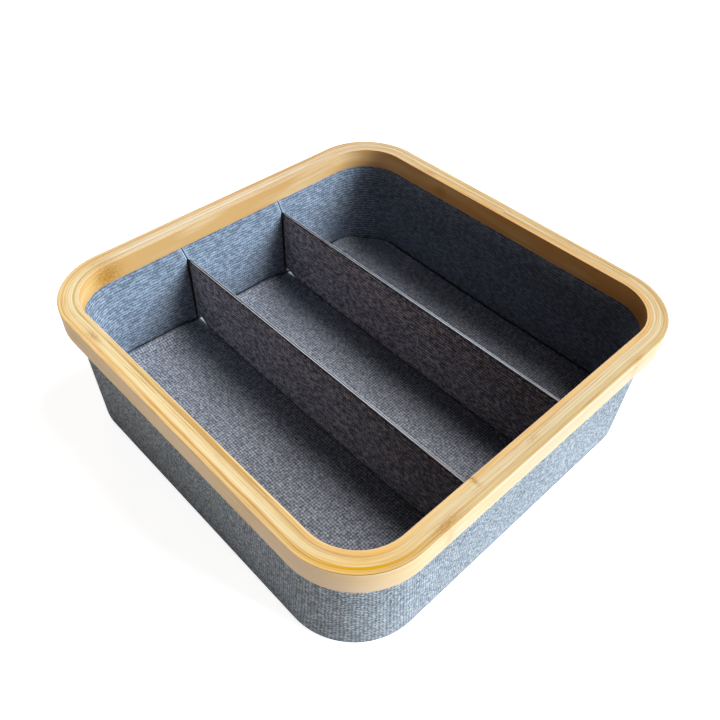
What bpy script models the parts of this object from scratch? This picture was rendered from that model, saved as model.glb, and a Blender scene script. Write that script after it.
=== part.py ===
"""Square storage tray with a bent bamboo rim and two lift-out dividers.

The box is a band of stiff board with fabric outside and four lining panels inside. Its upper edge stands
in a groove under the rim, which is four strips of bamboo bent round and glued. A loose floor panel lies on
the base board, and the two dividers stand on it.

Origin: centre of the underside. +Z is up, the dividers run along Y, and -Y is the side with the joint of
the rim's inner strip. Depth means distance inwards from the rim's outer face. Lengths are in metres.
"""

import math

import bmesh
import bpy

# Overall size
TRAY_SIDE = 0.310
TRAY_HEIGHT = 0.1005

# Rim: four strips, from the outside in. The third is short, which leaves the groove for the wall
RIM_CORNER_RADIUS = 0.0477
RIM_OUTER_HEIGHT = 0.0171
RIM_INNER_HEIGHT = 0.0154
OUTER_STRIP = 0.0043
SECOND_STRIP = 0.0032
GROOVE_DEPTH = 0.0090
RIM_PROUD_OF_LINING = 0.0006
ARRIS_RADIUS = 0.0011
BUTT_JOINT_X = -0.0575
BUTT_JOINT_GAP = 0.0004

# Wall, from the outside in, and the rounder corners that it has at its foot
COVER_THICKNESS = 0.0008
WALL_BOARD = 0.0019
LINING_BOARD = 0.0018
LINING_FABRIC = 0.0007
BASE_CORNER_RADIUS = 0.0490
COVER_FOLD_RADIUS = 0.0025
COVER_HEM = 0.0160
WALL_BOARD_BEVEL = 0.0007

# Base and floor, from the bottom up
BASE_CLOTH = 0.0008
BASE_BOARD = 0.0025
FLOOR_BOARD = 0.0025
FLOOR_FABRIC = 0.0008
FLOOR_HEM = 0.0200
FLOOR_CLEARANCE = 0.0004
BASE_CLOTH_MARGIN = 0.0060

# Dividers, whose upper edges lie a drop below the rim's top, and the lining's joints behind their ends
LEFT_DIVIDER_PLACE = -0.0434
RIGHT_DIVIDER_PLACE = 0.0476
DIVIDER_DROP = 0.0294
DIVIDER_FACING = 0.0006
DIVIDER_CORE = 0.0007
DIVIDER_CORE_DROP = 0.0006
DIVIDER_END_CLEARANCE = 0.0004
DIVIDER_CLIP_LENGTH = 0.0100
DIVIDER_CLIP_HEIGHT = 0.0022
LINING_SLIT = 0.0010
LINING_SLIT_LEAN = 0.0040

# Space between pieces that touch
SEAT_GAP = 0.0003

# Facets
CORNER_STEPS = 16
ARRIS_STEPS = 3
FOLD_STEPS = 3

# Depths of the layers
SECOND_DEPTH = OUTER_STRIP + SEAT_GAP
WALL_DEPTH = SECOND_DEPTH + SECOND_STRIP + SEAT_GAP
LINING_BOARD_DEPTH = WALL_DEPTH + WALL_BOARD + SEAT_GAP
LINING_FABRIC_DEPTH = LINING_BOARD_DEPTH + LINING_BOARD + SEAT_GAP
LINING_FACE_DEPTH = LINING_FABRIC_DEPTH + LINING_FABRIC
RIM_WIDTH = LINING_FACE_DEPTH + RIM_PROUD_OF_LINING
COVER_DEPTH = WALL_DEPTH - SEAT_GAP - COVER_THICKNESS
FLOOR_DEPTH = LINING_FACE_DEPTH + FLOOR_CLEARANCE

# Heights of the layers
RIM_FOOT_Z = TRAY_HEIGHT - RIM_OUTER_HEIGHT
RIM_INNER_FOOT_Z = TRAY_HEIGHT - RIM_INNER_HEIGHT
GROOVE_TOP_Z = RIM_FOOT_Z + GROOVE_DEPTH
HEM_Z = BASE_CLOTH + SEAT_GAP
BASE_BOARD_Z = HEM_Z + COVER_THICKNESS + SEAT_GAP
FLOOR_Z = BASE_BOARD_Z + BASE_BOARD + SEAT_GAP
FLOOR_BOARD_Z = FLOOR_Z + FLOOR_FABRIC + SEAT_GAP
FLOOR_TOP_Z = FLOOR_BOARD_Z + FLOOR_BOARD + SEAT_GAP + FLOOR_FABRIC
DIVIDER_FOOT_Z = FLOOR_TOP_Z + SEAT_GAP
DIVIDER_TOP_Z = TRAY_HEIGHT - DIVIDER_DROP

# A divider's half thickness, and the step from its middle to the middle of a facing
DIVIDER_HALF = DIVIDER_CORE / 2 + SEAT_GAP + DIVIDER_FACING
FACING_STEP = DIVIDER_HALF - DIVIDER_FACING / 2

# Corner radius that the wall's foot would have at depth zero
BASE_REFERENCE_RADIUS = BASE_CORNER_RADIUS + COVER_DEPTH

BAMBOO_PALE = (0.78, 0.56, 0.28)
BAMBOO_MID = (0.72, 0.49, 0.22)
BAMBOO_DARK = (0.62, 0.40, 0.17)
FABRIC_GREY = (0.20, 0.23, 0.27)
LINING_GREY = (0.24, 0.27, 0.31)
CLOTH_BLACK = (0.03, 0.03, 0.035)
BOARD_BROWN = (0.30, 0.26, 0.21)
CORE_DARK = (0.03, 0.03, 0.03)

LACQUER_ROUGHNESS = 0.45
FABRIC_ROUGHNESS = 0.90
BOARD_ROUGHNESS = 0.85
SHARP_ANGLE = math.radians(35)
BEVELLED_ANGLE = math.radians(60)


def clear_scene():
    for obj in list(bpy.data.objects):
        bpy.data.objects.remove(obj)


def new_collection():
    collection = bpy.data.collections.new("storage_tray")
    bpy.context.scene.collection.children.link(collection)
    return collection


def finish_of(name, colour, roughness):
    """A Principled material of one colour, which isn't a metal."""
    material = bpy.data.materials.new(name + "_finish")
    material.use_nodes = True
    shader = material.node_tree.nodes["Principled BSDF"]
    shader.inputs["Base Color"].default_value = (*colour, 1.0)
    shader.inputs["Roughness"].default_value = roughness
    shader.inputs["Metallic"].default_value = 0.0
    material.diffuse_color = (*colour, 1.0)
    return material


def corner_radius(depth, z):
    """The radius at this depth. It is the rim's at the rim, and grows evenly down to the base."""
    share = min(max(z / RIM_FOOT_Z, 0.0), 1.0)
    reference = BASE_REFERENCE_RADIUS + (RIM_CORNER_RADIUS - BASE_REFERENCE_RADIUS) * share
    return reference - depth


def corner(depth, z, quadrant):
    """Points of one rounded corner, counter-clockwise. Quadrant 0 is at +X +Y, and 1 at -X +Y."""
    radius = corner_radius(depth, z)
    centre = TRAY_SIDE / 2 - depth - radius
    side_x = 1 if quadrant in (0, 3) else -1
    side_y = 1 if quadrant in (0, 1) else -1
    points = []
    for step in range(CORNER_STEPS + 1):
        angle = math.pi / 2 * (quadrant + step / CORNER_STEPS)
        x = side_x * centre + radius * math.cos(angle)
        y = side_y * centre + radius * math.sin(angle)
        points.append((x, y, z))
    return points


def outline(depth, z):
    """The rounded square at this depth and height."""
    return [point for quadrant in range(4) for point in corner(depth, z, quadrant)]


def arc(depth, z, radius, start, steps):
    """A quarter circle in a section, about (depth, z), from an angle in quarter turns. 0 points inwards."""
    points = []
    for step in range(steps + 1):
        angle = math.pi / 2 * (start + step / steps)
        points.append((depth + radius * math.cos(angle), z + radius * math.sin(angle)))
    return points


def following(items, closed):
    """Each item with the next one, and the last with the first where the list is closed."""
    return list(zip(items, items[1:] + items[:1] if closed else items[1:]))


def loft(rows, ring, closed):
    """A mesh through rows of points. Ring joins the last row to the first, and closed each row's ends."""
    bm = bmesh.new()
    lines = [[bm.verts.new(point) for point in row] for row in rows]
    for first, second in following(lines, ring):
        for (a, b), (c, d) in following(list(zip(first, second)), closed):
            bm.faces.new((a, c, d, b))
    return bm


def object_from(bm, name, collection, material):
    """The mesh as an object of the tray, facing out, smooth apart from its real edges."""
    bmesh.ops.recalc_face_normals(bm, faces=bm.faces)
    mesh = bpy.data.meshes.new(name)
    bm.to_mesh(mesh)
    bm.free()
    mesh.shade_smooth()
    mesh.set_sharp_from_angle(angle=SHARP_ANGLE)
    mesh.materials.append(material)
    obj = bpy.data.objects.new(name, mesh)
    collection.objects.link(obj)
    return obj


def band(name, section, collection, material):
    """A closed section, in depth and height, carried all the way round the tray."""
    bm = loft([outline(depth, z) for depth, z in section], True, True)
    return object_from(bm, name, collection, material)


def block_section(depth, thickness, low, high):
    return [(depth, low), (depth, high), (depth + thickness, high), (depth + thickness, low)]


def flat_panel(name, depth, low, thickness, collection, material):
    """A flat sheet with the tray's rounded corners, as a filled curve with a thickness."""
    curve = bpy.data.curves.new(name, "CURVE")
    curve.dimensions = "2D"
    curve.fill_mode = "BOTH"
    curve.extrude = thickness / 2
    spline = curve.splines.new("POLY")
    points = outline(depth, low)
    spline.points.add(len(points) - 1)
    for target, (x, y, _) in zip(spline.points, points):
        target.co = (x, y, 0.0, 1.0)
    spline.use_cyclic_u = True
    curve.materials.append(material)
    obj = bpy.data.objects.new(name, curve)
    obj.location.z = low + thickness / 2
    collection.objects.link(obj)
    return obj


def outer_strip_section():
    """The outermost strip, with its upper and lower outer arrises eased."""
    ease = ARRIS_RADIUS
    section = arc(ease, RIM_FOOT_Z + ease, ease, 3, ARRIS_STEPS)[::-1]
    section = [(OUTER_STRIP, RIM_FOOT_Z)] + section
    section += arc(ease, TRAY_HEIGHT - ease, ease, 1, ARRIS_STEPS)[::-1]
    return section + [(OUTER_STRIP, TRAY_HEIGHT)]


def inner_strip_section():
    """The innermost strip, with its upper and lower inner arrises eased."""
    ease = ARRIS_RADIUS
    near = RIM_WIDTH - ease
    section = [(LINING_BOARD_DEPTH, RIM_INNER_FOOT_Z), (LINING_BOARD_DEPTH, TRAY_HEIGHT)]
    section += arc(near, TRAY_HEIGHT - ease, ease, 0, ARRIS_STEPS)[::-1]
    return section + arc(near, RIM_INNER_FOOT_Z + ease, ease, 3, ARRIS_STEPS)[::-1]


def make_rim(parts):
    pale = finish_of("bamboo_pale", BAMBOO_PALE, LACQUER_ROUGHNESS)
    middle = finish_of("bamboo_middle", BAMBOO_MID, LACQUER_ROUGHNESS)
    dark = finish_of("bamboo_dark", BAMBOO_DARK, LACQUER_ROUGHNESS)
    band("rim_outer_strip", outer_strip_section(), parts, dark)
    second = block_section(SECOND_DEPTH, SECOND_STRIP, RIM_FOOT_Z, TRAY_HEIGHT)
    band("rim_second_strip", second, parts, pale)
    filler = block_section(WALL_DEPTH, WALL_BOARD, GROOVE_TOP_Z, TRAY_HEIGHT)
    band("rim_groove_strip", filler, parts, middle)
    make_inner_strip(parts, finish_of("bamboo_inner", BAMBOO_PALE, LACQUER_ROUGHNESS))


def make_inner_strip(parts, material):
    """The inner strip doesn't close: its two ends meet at a butt joint on the -Y side."""
    rows = []
    for depth, z in inner_strip_section():
        wall = TRAY_SIDE / 2 - depth
        points = [(BUTT_JOINT_X + BUTT_JOINT_GAP / 2, -wall, z)]
        for quadrant in (3, 0, 1, 2):
            points += corner(depth, z, quadrant)
        points.append((BUTT_JOINT_X - BUTT_JOINT_GAP / 2, -wall, z))
        rows.append(points)
    bm = loft(rows, True, False)
    bmesh.ops.holes_fill(bm, edges=bm.edges)
    object_from(bm, "rim_inner_strip", parts, material)


def cover_section():
    """The fabric outside the wall, folded under the base and ending in a hem."""
    near = COVER_DEPTH + COVER_THICKNESS
    fold = COVER_DEPTH + COVER_FOLD_RADIUS
    fold_z = HEM_Z + COVER_FOLD_RADIUS
    outside = arc(fold, fold_z, COVER_FOLD_RADIUS, 2, FOLD_STEPS)
    inside = arc(fold, fold_z, COVER_FOLD_RADIUS - COVER_THICKNESS, 2, FOLD_STEPS)[::-1]
    top = RIM_FOOT_Z - SEAT_GAP
    hem = [(fold + COVER_HEM, HEM_Z), (fold + COVER_HEM, HEM_Z + COVER_THICKNESS)]
    return [(near, top), (COVER_DEPTH, top)] + outside + hem + inside


def make_wall(parts):
    board = finish_of("wall_board", BOARD_BROWN, BOARD_ROUGHNESS)
    fabric = finish_of("cover_fabric", FABRIC_GREY, FABRIC_ROUGHNESS)
    section = block_section(WALL_DEPTH, WALL_BOARD, BASE_BOARD_Z, RIM_FOOT_Z)
    top = GROOVE_TOP_Z - SEAT_GAP
    tongue = [(WALL_DEPTH, top), (WALL_DEPTH + WALL_BOARD, top)]
    wall = band("wall_board", section[:2] + tongue + section[2:], parts, board)
    ease = wall.modifiers.new("eased_edges", "BEVEL")
    ease.width = WALL_BOARD_BEVEL
    ease.segments = 1
    ease.limit_method = "ANGLE"
    ease.angle_limit = BEVELLED_ANGLE
    band("outer_cover", cover_section(), parts, fabric)


def make_base(parts):
    cloth = finish_of("base_cloth", CLOTH_BLACK, FABRIC_ROUGHNESS)
    board = finish_of("base_board", BOARD_BROWN, BOARD_ROUGHNESS)
    flat_panel("base_cloth", COVER_DEPTH + BASE_CLOTH_MARGIN, 0.0, BASE_CLOTH, parts, cloth)
    inside = WALL_DEPTH + WALL_BOARD + SEAT_GAP
    flat_panel("base_board", inside, BASE_BOARD_Z, BASE_BOARD, parts, board)


def upper_edges(bm):
    """The edges that lie at the mesh's greatest height."""
    top = max(vert.co.z for vert in bm.verts)
    return [edge for edge in bm.edges if all(vert.co.z == top for vert in edge.verts)]


def make_floor(parts):
    """A loose board in a fabric wrap, which is turned under it and open below."""
    board = finish_of("floor_board", BOARD_BROWN, BOARD_ROUGHNESS)
    fabric = finish_of("floor_fabric", FABRIC_GREY, FABRIC_ROUGHNESS)
    inside = FLOOR_DEPTH + FLOOR_FABRIC + SEAT_GAP
    flat_panel("floor_board", inside, FLOOR_BOARD_Z, FLOOR_BOARD, parts, board)
    section = [(FLOOR_DEPTH + FLOOR_HEM, FLOOR_Z), (FLOOR_DEPTH, FLOOR_Z), (FLOOR_DEPTH, FLOOR_TOP_Z)]
    bm = loft([outline(depth, z) for depth, z in section], False, True)
    bmesh.ops.contextual_create(bm, geom=upper_edges(bm))
    wrap = object_from(bm, "floor_cover", parts, fabric)
    shell = wrap.modifiers.new("fabric_thickness", "SOLIDIFY")
    shell.thickness = FLOOR_FABRIC
    shell.offset = -1.0
    shell.use_even_offset = True


def slit_x(place, z):
    """Middle of a lining joint. It is upright along the divider's left face, and leans to -X above it."""
    share = min(max((z - DIVIDER_TOP_Z) / (RIM_INNER_FOOT_Z - DIVIDER_TOP_Z), 0.0), 1.0)
    return place - DIVIDER_HALF - LINING_SLIT_LEAN * share


def lining_run(panel, depth, z):
    """Points of one lining panel's plan, from its first joint to its last."""
    wall = TRAY_SIDE / 2 - depth
    half = LINING_SLIT / 2
    left = slit_x(LEFT_DIVIDER_PLACE, z)
    right = slit_x(RIGHT_DIVIDER_PLACE, z)
    if panel == "back":
        return [(right - half, wall, z), (left + half, wall, z)]
    if panel == "front":
        return [(left + half, -wall, z), (right - half, -wall, z)]
    if panel == "left":
        turn = corner(depth, z, 1) + corner(depth, z, 2)
        return [(left - half, wall, z)] + turn + [(left - half, -wall, z)]
    turn = corner(depth, z, 3) + corner(depth, z, 0)
    return [(right + half, -wall, z)] + turn + [(right + half, wall, z)]


def lining_piece(name, panel, depth, thickness, parts, material):
    """One layer of a lining panel, from the base board up to the rim."""
    low = FLOOR_Z
    high = RIM_INNER_FOOT_Z - SEAT_GAP
    near = depth + thickness
    section = [(depth, low), (depth, DIVIDER_TOP_Z), (depth, high)]
    section += [(near, high), (near, DIVIDER_TOP_Z), (near, low)]
    bm = loft([lining_run(panel, d, z) for d, z in section], True, False)
    bmesh.ops.holes_fill(bm, edges=bm.edges)
    object_from(bm, name, parts, material)


def make_lining(parts):
    board = finish_of("lining_board", BOARD_BROWN, BOARD_ROUGHNESS)
    fabric = finish_of("lining_fabric", LINING_GREY, FABRIC_ROUGHNESS)
    for panel in ("left", "back", "right", "front"):
        lining_piece(f"lining_{panel}_board", panel, LINING_BOARD_DEPTH, LINING_BOARD, parts, board)
        lining_piece(f"lining_{panel}_fabric", panel, LINING_FABRIC_DEPTH, LINING_FABRIC, parts, fabric)


def divider_outline(drop):
    """Side view of a divider: straight, with its two lower corners clipped. Drop lowers its upper edge."""
    half = TRAY_SIDE / 2 - RIM_WIDTH - DIVIDER_END_CLEARANCE
    height = DIVIDER_TOP_Z - DIVIDER_FOOT_Z - drop
    inner = half - DIVIDER_CLIP_LENGTH
    lower = [(-half, DIVIDER_CLIP_HEIGHT), (-inner, 0.0), (inner, 0.0), (half, DIVIDER_CLIP_HEIGHT)]
    return lower + [(half, height), (-half, height)]


def divider_sheet(name, offset, thickness, drop, carrier, parts, material):
    """One layer of a divider: a flat outline turned upright, square to X."""
    curve = bpy.data.curves.new(name, "CURVE")
    curve.dimensions = "2D"
    curve.fill_mode = "BOTH"
    curve.extrude = thickness / 2
    points = divider_outline(drop)
    spline = curve.splines.new("POLY")
    spline.points.add(len(points) - 1)
    for target, (along, up) in zip(spline.points, points):
        target.co = (along, up, 0.0, 1.0)
    spline.use_cyclic_u = True
    curve.materials.append(material)
    sheet = bpy.data.objects.new(name, curve)
    sheet.parent = carrier
    sheet.location.x = offset
    sheet.rotation_euler = (math.pi / 2, 0.0, math.pi / 2)
    parts.objects.link(sheet)


def make_divider(side, place, parts):
    """A stiff core between two fabric facings. The empty that carries them lies on the lifting axis."""
    fabric = finish_of(f"{side}_divider_fabric", LINING_GREY, FABRIC_ROUGHNESS)
    core = finish_of(f"{side}_divider_core", CORE_DARK, FABRIC_ROUGHNESS)
    carrier = bpy.data.objects.new(f"{side}_divider_lift", None)
    carrier.location = (place, 0.0, DIVIDER_FOOT_Z)
    parts.objects.link(carrier)
    divider_sheet(f"{side}_divider_core", 0.0, DIVIDER_CORE, DIVIDER_CORE_DROP, carrier, parts, core)
    for face, sign in (("left", -1), ("right", 1)):
        name = f"{side}_divider_{face}_facing"
        divider_sheet(name, sign * FACING_STEP, DIVIDER_FACING, 0.0, carrier, parts, fabric)


def main():
    clear_scene()
    parts = new_collection()
    make_rim(parts)
    make_wall(parts)
    make_base(parts)
    make_floor(parts)
    make_lining(parts)
    make_divider("left", LEFT_DIVIDER_PLACE, parts)
    make_divider("right", RIGHT_DIVIDER_PLACE, parts)


main()
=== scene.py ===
# %% [markdown]
# # A fabric storage tray with a bent bamboo rim
# The packed model gives every piece its true size and place. This lesson dresses it: each visible piece is
# worked out again as a fine surface, gets a finish that is made of nodes, and rides on the body that the
# plain solid belongs to. All lengths are in metres, +Z is up, and the dividers run along Y.

# %% Load the packed tray
import math

import bpy
import numpy as np
from mathutils import Matrix, Vector


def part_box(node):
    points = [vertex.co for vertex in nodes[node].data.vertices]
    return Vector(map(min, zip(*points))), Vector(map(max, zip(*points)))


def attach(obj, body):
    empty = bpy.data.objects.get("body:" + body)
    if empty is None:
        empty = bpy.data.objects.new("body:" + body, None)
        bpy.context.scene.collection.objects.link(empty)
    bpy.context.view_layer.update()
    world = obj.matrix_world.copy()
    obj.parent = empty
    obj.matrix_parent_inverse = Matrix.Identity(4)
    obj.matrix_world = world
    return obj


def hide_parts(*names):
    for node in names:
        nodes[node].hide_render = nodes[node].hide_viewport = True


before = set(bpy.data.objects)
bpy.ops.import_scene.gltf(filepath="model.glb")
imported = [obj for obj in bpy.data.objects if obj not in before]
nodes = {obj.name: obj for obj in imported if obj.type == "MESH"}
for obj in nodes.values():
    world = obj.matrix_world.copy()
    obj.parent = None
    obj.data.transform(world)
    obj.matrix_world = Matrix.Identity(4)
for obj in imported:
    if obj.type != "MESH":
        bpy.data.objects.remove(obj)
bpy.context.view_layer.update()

# %% [markdown]
# ## Camera
# The camera was fitted to the outlines of the rim, the wall and the foot. It looks down at the near corner
# from about 46 degrees, with a slight roll, and has a lens a little longer than a phone's main one. Turned by
# hand, it would hardly get lens, distance and tilt right together. It comes first, so that every later step can
# be judged through it.

# %% Camera
VIEW_AZIMUTH = math.radians(-45.05)
VIEW_ELEVATION = math.radians(45.852)
VIEW_ROLL = math.radians(2.056)
VIEW_DISTANCE = 0.49473
VIEW_TARGET = Vector((-0.021014, -0.019862, 0.0713))
SENSOR = 36.0
LENS = 37.58


def direction_to(azimuth, elevation):
    """The unit vector towards a place: azimuth 0 is -Y, and turns towards +X."""
    level = math.cos(elevation)
    return Vector((math.sin(azimuth) * level, -math.cos(azimuth) * level, math.sin(elevation)))


def aimed_matrix(target, azimuth, elevation, roll, distance):
    """A matrix that looks at the target from a distance. Roll turns its right towards its up."""
    back = direction_to(azimuth, elevation)
    level = Vector((0.0, 0.0, 1.0)).cross(back).normalized()
    upright = back.cross(level)
    right = math.cos(roll) * level + math.sin(roll) * upright
    up = math.cos(roll) * upright - math.sin(roll) * level
    place = Matrix((right, up, back)).transposed().to_4x4()
    place.translation = target + back * distance
    return place


view = bpy.data.cameras.new("view")
view.sensor_width = SENSOR
view.lens = LENS
camera = bpy.data.objects.new("camera", view)
camera.matrix_world = aimed_matrix(VIEW_TARGET, VIEW_AZIMUTH, VIEW_ELEVATION, VIEW_ROLL, VIEW_DISTANCE)
bpy.context.collection.objects.link(camera)
bpy.context.scene.camera = camera
print("camera at", tuple(round(v, 4) for v in camera.location))

# %% [markdown]
# ## The plan of the tray
# Seen from above, every layer of the tray is a rounded square. A layer's depth is its distance inwards from
# the rim's outer face, and the radius of its corners falls by the same depth. Below the rim the corners grow
# rounder towards the foot, so a height goes with each point too. The sizes could be written down here once
# more, but then a new pack would leave the surfaces behind. So they are read from the packed solids, and only
# the two radii, which a box doesn't tell, are written down.

# %% Plan
TRAY_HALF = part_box("rim_outer_strip")[1].x
TRAY_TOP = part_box("rim_outer_strip")[1].z
RIM_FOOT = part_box("rim_outer_strip")[0].z
RIM_RADIUS = 0.0477
FOOT_RADIUS = 0.0560


def depth_of(node):
    """How far the outer face of a node lies inside the outer face of the rim: the half width less its own."""
    return TRAY_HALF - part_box(node)[1].x


def per_row(values):
    """One value for each row, as a column beside the stations. A full table of values stays as it is."""
    values = np.asarray(values, dtype=float)
    return values[:, None] if values.ndim == 1 else values


def corner_radius(z):
    """The plan radius at depth zero: the rim's down to the rim's foot, then growing evenly to the foot's."""
    share = np.clip(z / RIM_FOOT, 0.0, 1.0)
    return FOOT_RADIUS + (RIM_RADIUS - FOOT_RADIUS) * share


def place_on_plan(stations, depth, z):
    """Points (rows, stations, 3) for rows of depth and height.

    x = sx * centre + (radius - depth) * cos(angle), and y likewise, where centre = half - radius.
    """
    sx, sy, angle = (np.atleast_2d(values) for values in stations)
    depth, z = per_row(depth), per_row(z)
    radius = corner_radius(z)
    centre = TRAY_HALF - radius
    x = sx * centre + (radius - depth) * np.cos(angle)
    y = sy * centre + (radius - depth) * np.sin(angle)
    return np.stack(np.broadcast_arrays(x, y, z), axis=-1)


print(f"half width {TRAY_HALF:.4f}, top at {TRAY_TOP:.4f}, foot of the rim at {RIM_FOOT:.4f}")

# %% [markdown]
# ## Stations round the plan
# A strip of bamboo or a length of cloth follows the plan like a tape laid round a block. The tape is marked
# off into stations. On a straight they slide from one corner to the next, and in a corner they turn through a
# quarter of a circle. Each is kept as two numbers from -1 to 1 and an angle instead of a point, because one
# set of stations then serves every layer, whatever its depth.

# %% Stations
STATION_SPACING = 0.0025
QUARTER_TURN = math.pi / 2


def facing(quarter):
    """The outward and the counter-clockwise directions of a side: 0 is +X, 1 is +Y, and -1 is -Y."""
    turned = quarter * QUARTER_TURN
    outward = np.array([round(math.cos(turned)), round(math.sin(turned))])
    return outward, np.array([-outward[1], outward[0]]), turned


def steps_for(length, spacing):
    """The whole number of steps that comes nearest to length / spacing, and at least one."""
    return max(1, round(length / spacing))


def side_and_corner(quarter, spacing, from_share=-1.0):
    """Stations along a side and through the corner after it: columns of sx, sy and angle."""
    outward, onward, turned = facing(quarter)
    straight = steps_for((TRAY_HALF - RIM_RADIUS) * (1.0 - from_share), spacing)
    slide = np.linspace(from_share, 1.0, straight, endpoint=False)
    turn = steps_for(RIM_RADIUS * QUARTER_TURN, spacing)
    sweep = np.linspace(0.0, QUARTER_TURN, turn, endpoint=False)
    signs = np.concatenate([outward + slide[:, None] * onward, np.tile(outward + onward, (turn, 1))])
    angle = np.concatenate([np.full(straight, turned), turned + sweep])
    return np.column_stack([signs, angle])


def ring_stations(spacing):
    """Stations all the way round, counter-clockwise from the middle of the +X side."""
    sides = [side_and_corner(0, spacing, 0.0)]
    sides += [side_and_corner(quarter, spacing) for quarter in (1, 2, 3)]
    outward, onward, turned = facing(4)
    slide = np.linspace(-1.0, 0.0, steps_for(TRAY_HALF - RIM_RADIUS, spacing), endpoint=False)
    last = np.column_stack([outward + slide[:, None] * onward, np.full(len(slide), turned)])
    return tuple(np.concatenate(sides + [last]).T)


ring = ring_stations(STATION_SPACING)
print("stations in a ring:", len(ring[0]))

# %% [markdown]
# ## A helper for surfaces worked out as grids
# Every new piece is a table of points: rows follow its section and columns follow its length. The rows close
# where the section does, and the columns close where the piece goes all the way round. Each piece also gets
# a map for its grain or yarn. An automatic unwrap would cut a strip into parts, each at a scale of its own, so
# the map is worked out in metres, and grain and yarn keep their true size and follow every bend.

# %% Map of a grid


def wrapped(values, axis, closed):
    """The table with its first row or column repeated at the end, where it closes."""
    return np.concatenate([values, np.take(values, [0], axis)], axis) if closed else values


def lengths_along(points, axis, closed):
    """Distance travelled along an axis of a table of points, with one more place where it closes."""
    steps = np.linalg.norm(np.diff(wrapped(points, axis, closed), axis=axis), axis=-1)
    total = np.cumsum(steps, axis=axis)
    return np.concatenate([np.zeros_like(np.take(total, [0], axis)), total], axis)


def run_map(points, closed_rows=True, closed_columns=True, shift=0.0):
    """The piece's own map: metres along the columns of the first row, and metres along the rows.

    A shift moves the map across, so that each strip has grain of its own.
    """
    along = wrapped(lengths_along(points, 1, closed_columns)[:1].repeat(len(points), 0), 0, closed_rows)
    across = wrapped(lengths_along(points, 0, closed_rows), 1, closed_columns)
    return np.stack([along, across + shift], -1)


sample = run_map(place_on_plan(ring, [0.0, 0.0], [TRAY_TOP, RIM_FOOT]), closed_rows=False)
print(f"girth of the rim: {sample[0, -1, 0]:.4f}")

# %% [markdown]
# ## From grid to mesh
# Four neighbouring points make a face. Faces could be added one by one in a loop, but whole tables of corner
# numbers are shorter and much quicker. Where the rows or the columns stop, a cap closes the surface, so every
# piece is a closed body. The enclosed volume tells which way the faces point, and they are turned if need be.

# %% Grid to mesh
BAMBOO_SHARP = 40.0
CLOTH_SHARP = 60.0


def enclosed(points, faces):
    """Six times the volume inside: the sum of a . (b x c) over a fan of triangles in each face."""
    total = 0.0
    for group in faces:
        corners = points[group]
        for k in range(1, corners.shape[1] - 1):
            total += np.einsum("ij,ij->", corners[:, 0], np.cross(corners[:, k], corners[:, k + 1]))
    return total


def surface(name, points, uv, closed_rows=True, closed_columns=True, sharp=BAMBOO_SHARP):
    """A closed mesh from a table of points (rows, columns, 3), with the piece's own map from uv.

    Face (i, j) joins points (i, j), (i, j + 1), (i + 1, j + 1) and (i + 1, j). An edge looks sharp where its
    faces meet at more than the sharp angle, in degrees.
    """
    rows, columns = points.shape[:2]
    index = np.arange(rows * columns).reshape(rows, columns)
    grid = wrapped(wrapped(index, 0, closed_rows), 1, closed_columns)
    quads = np.stack([grid[:-1, :-1], grid[:-1, 1:], grid[1:, 1:], grid[1:, :-1]], -1).reshape(-1, 4)
    corners = np.stack([uv[:-1, :-1], uv[:-1, 1:], uv[1:, 1:], uv[1:, :-1]], 2).reshape(-1, 4, 2)
    faces, maps = [quads], [corners]
    if not closed_columns:
        faces += [index[None, :, 0], index[None, ::-1, -1]]
        maps += [uv[None, :rows, 0], uv[None, :rows, -1][:, ::-1]]
    if not closed_rows:
        faces += [index[None, 0, ::-1], index[None, -1, :]]
        maps += [uv[None, 0, :columns][:, ::-1], uv[None, -1, :columns]]
    flat = points.reshape(-1, 3)
    if enclosed(flat, faces) < 0:
        faces, maps = [group[:, ::-1] for group in faces], [group[:, ::-1] for group in maps]
    mesh = bpy.data.meshes.new(name)
    mesh.from_pydata(flat.tolist(), [], [face for group in faces for face in group.tolist()])
    layer = mesh.uv_layers.new(name="run")
    layer.data.foreach_set("uv", np.concatenate([group.reshape(-1) for group in maps]))
    mesh.shade_smooth()
    mesh.set_sharp_from_angle(angle=math.radians(sharp))
    piece = bpy.data.objects.new(name, mesh)
    bpy.context.collection.objects.link(piece)
    print(f"{name}: {rows} x {columns} points")
    return piece


def mark(piece, name, values):
    """A number at each point, for a material to read."""
    attribute = piece.data.attributes.new(name, "FLOAT", "POINT")
    attribute.data.foreach_set("value", np.ascontiguousarray(values, dtype=np.float32).reshape(-1))


def dress(piece, material, slot, body, *replaced):
    """Gives a piece its finish, the body that carries it, and the solids that it stands for. The slot is not
    used.
    """
    piece.data.materials.append(material)
    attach(piece, body)
    if replaced:
        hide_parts(*replaced)


print("an edge looks sharp from", BAMBOO_SHARP, "degrees on bamboo and", CLOTH_SHARP, "on cloth")

# %% [markdown]
# ## A bench for finishes
# A finish is a small network of nodes that ends in the Principled shader. Writing each node out takes many
# lines, so a bench keeps one material and has a word for each kind of node that the finishes share.

# %% Node bench


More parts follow.
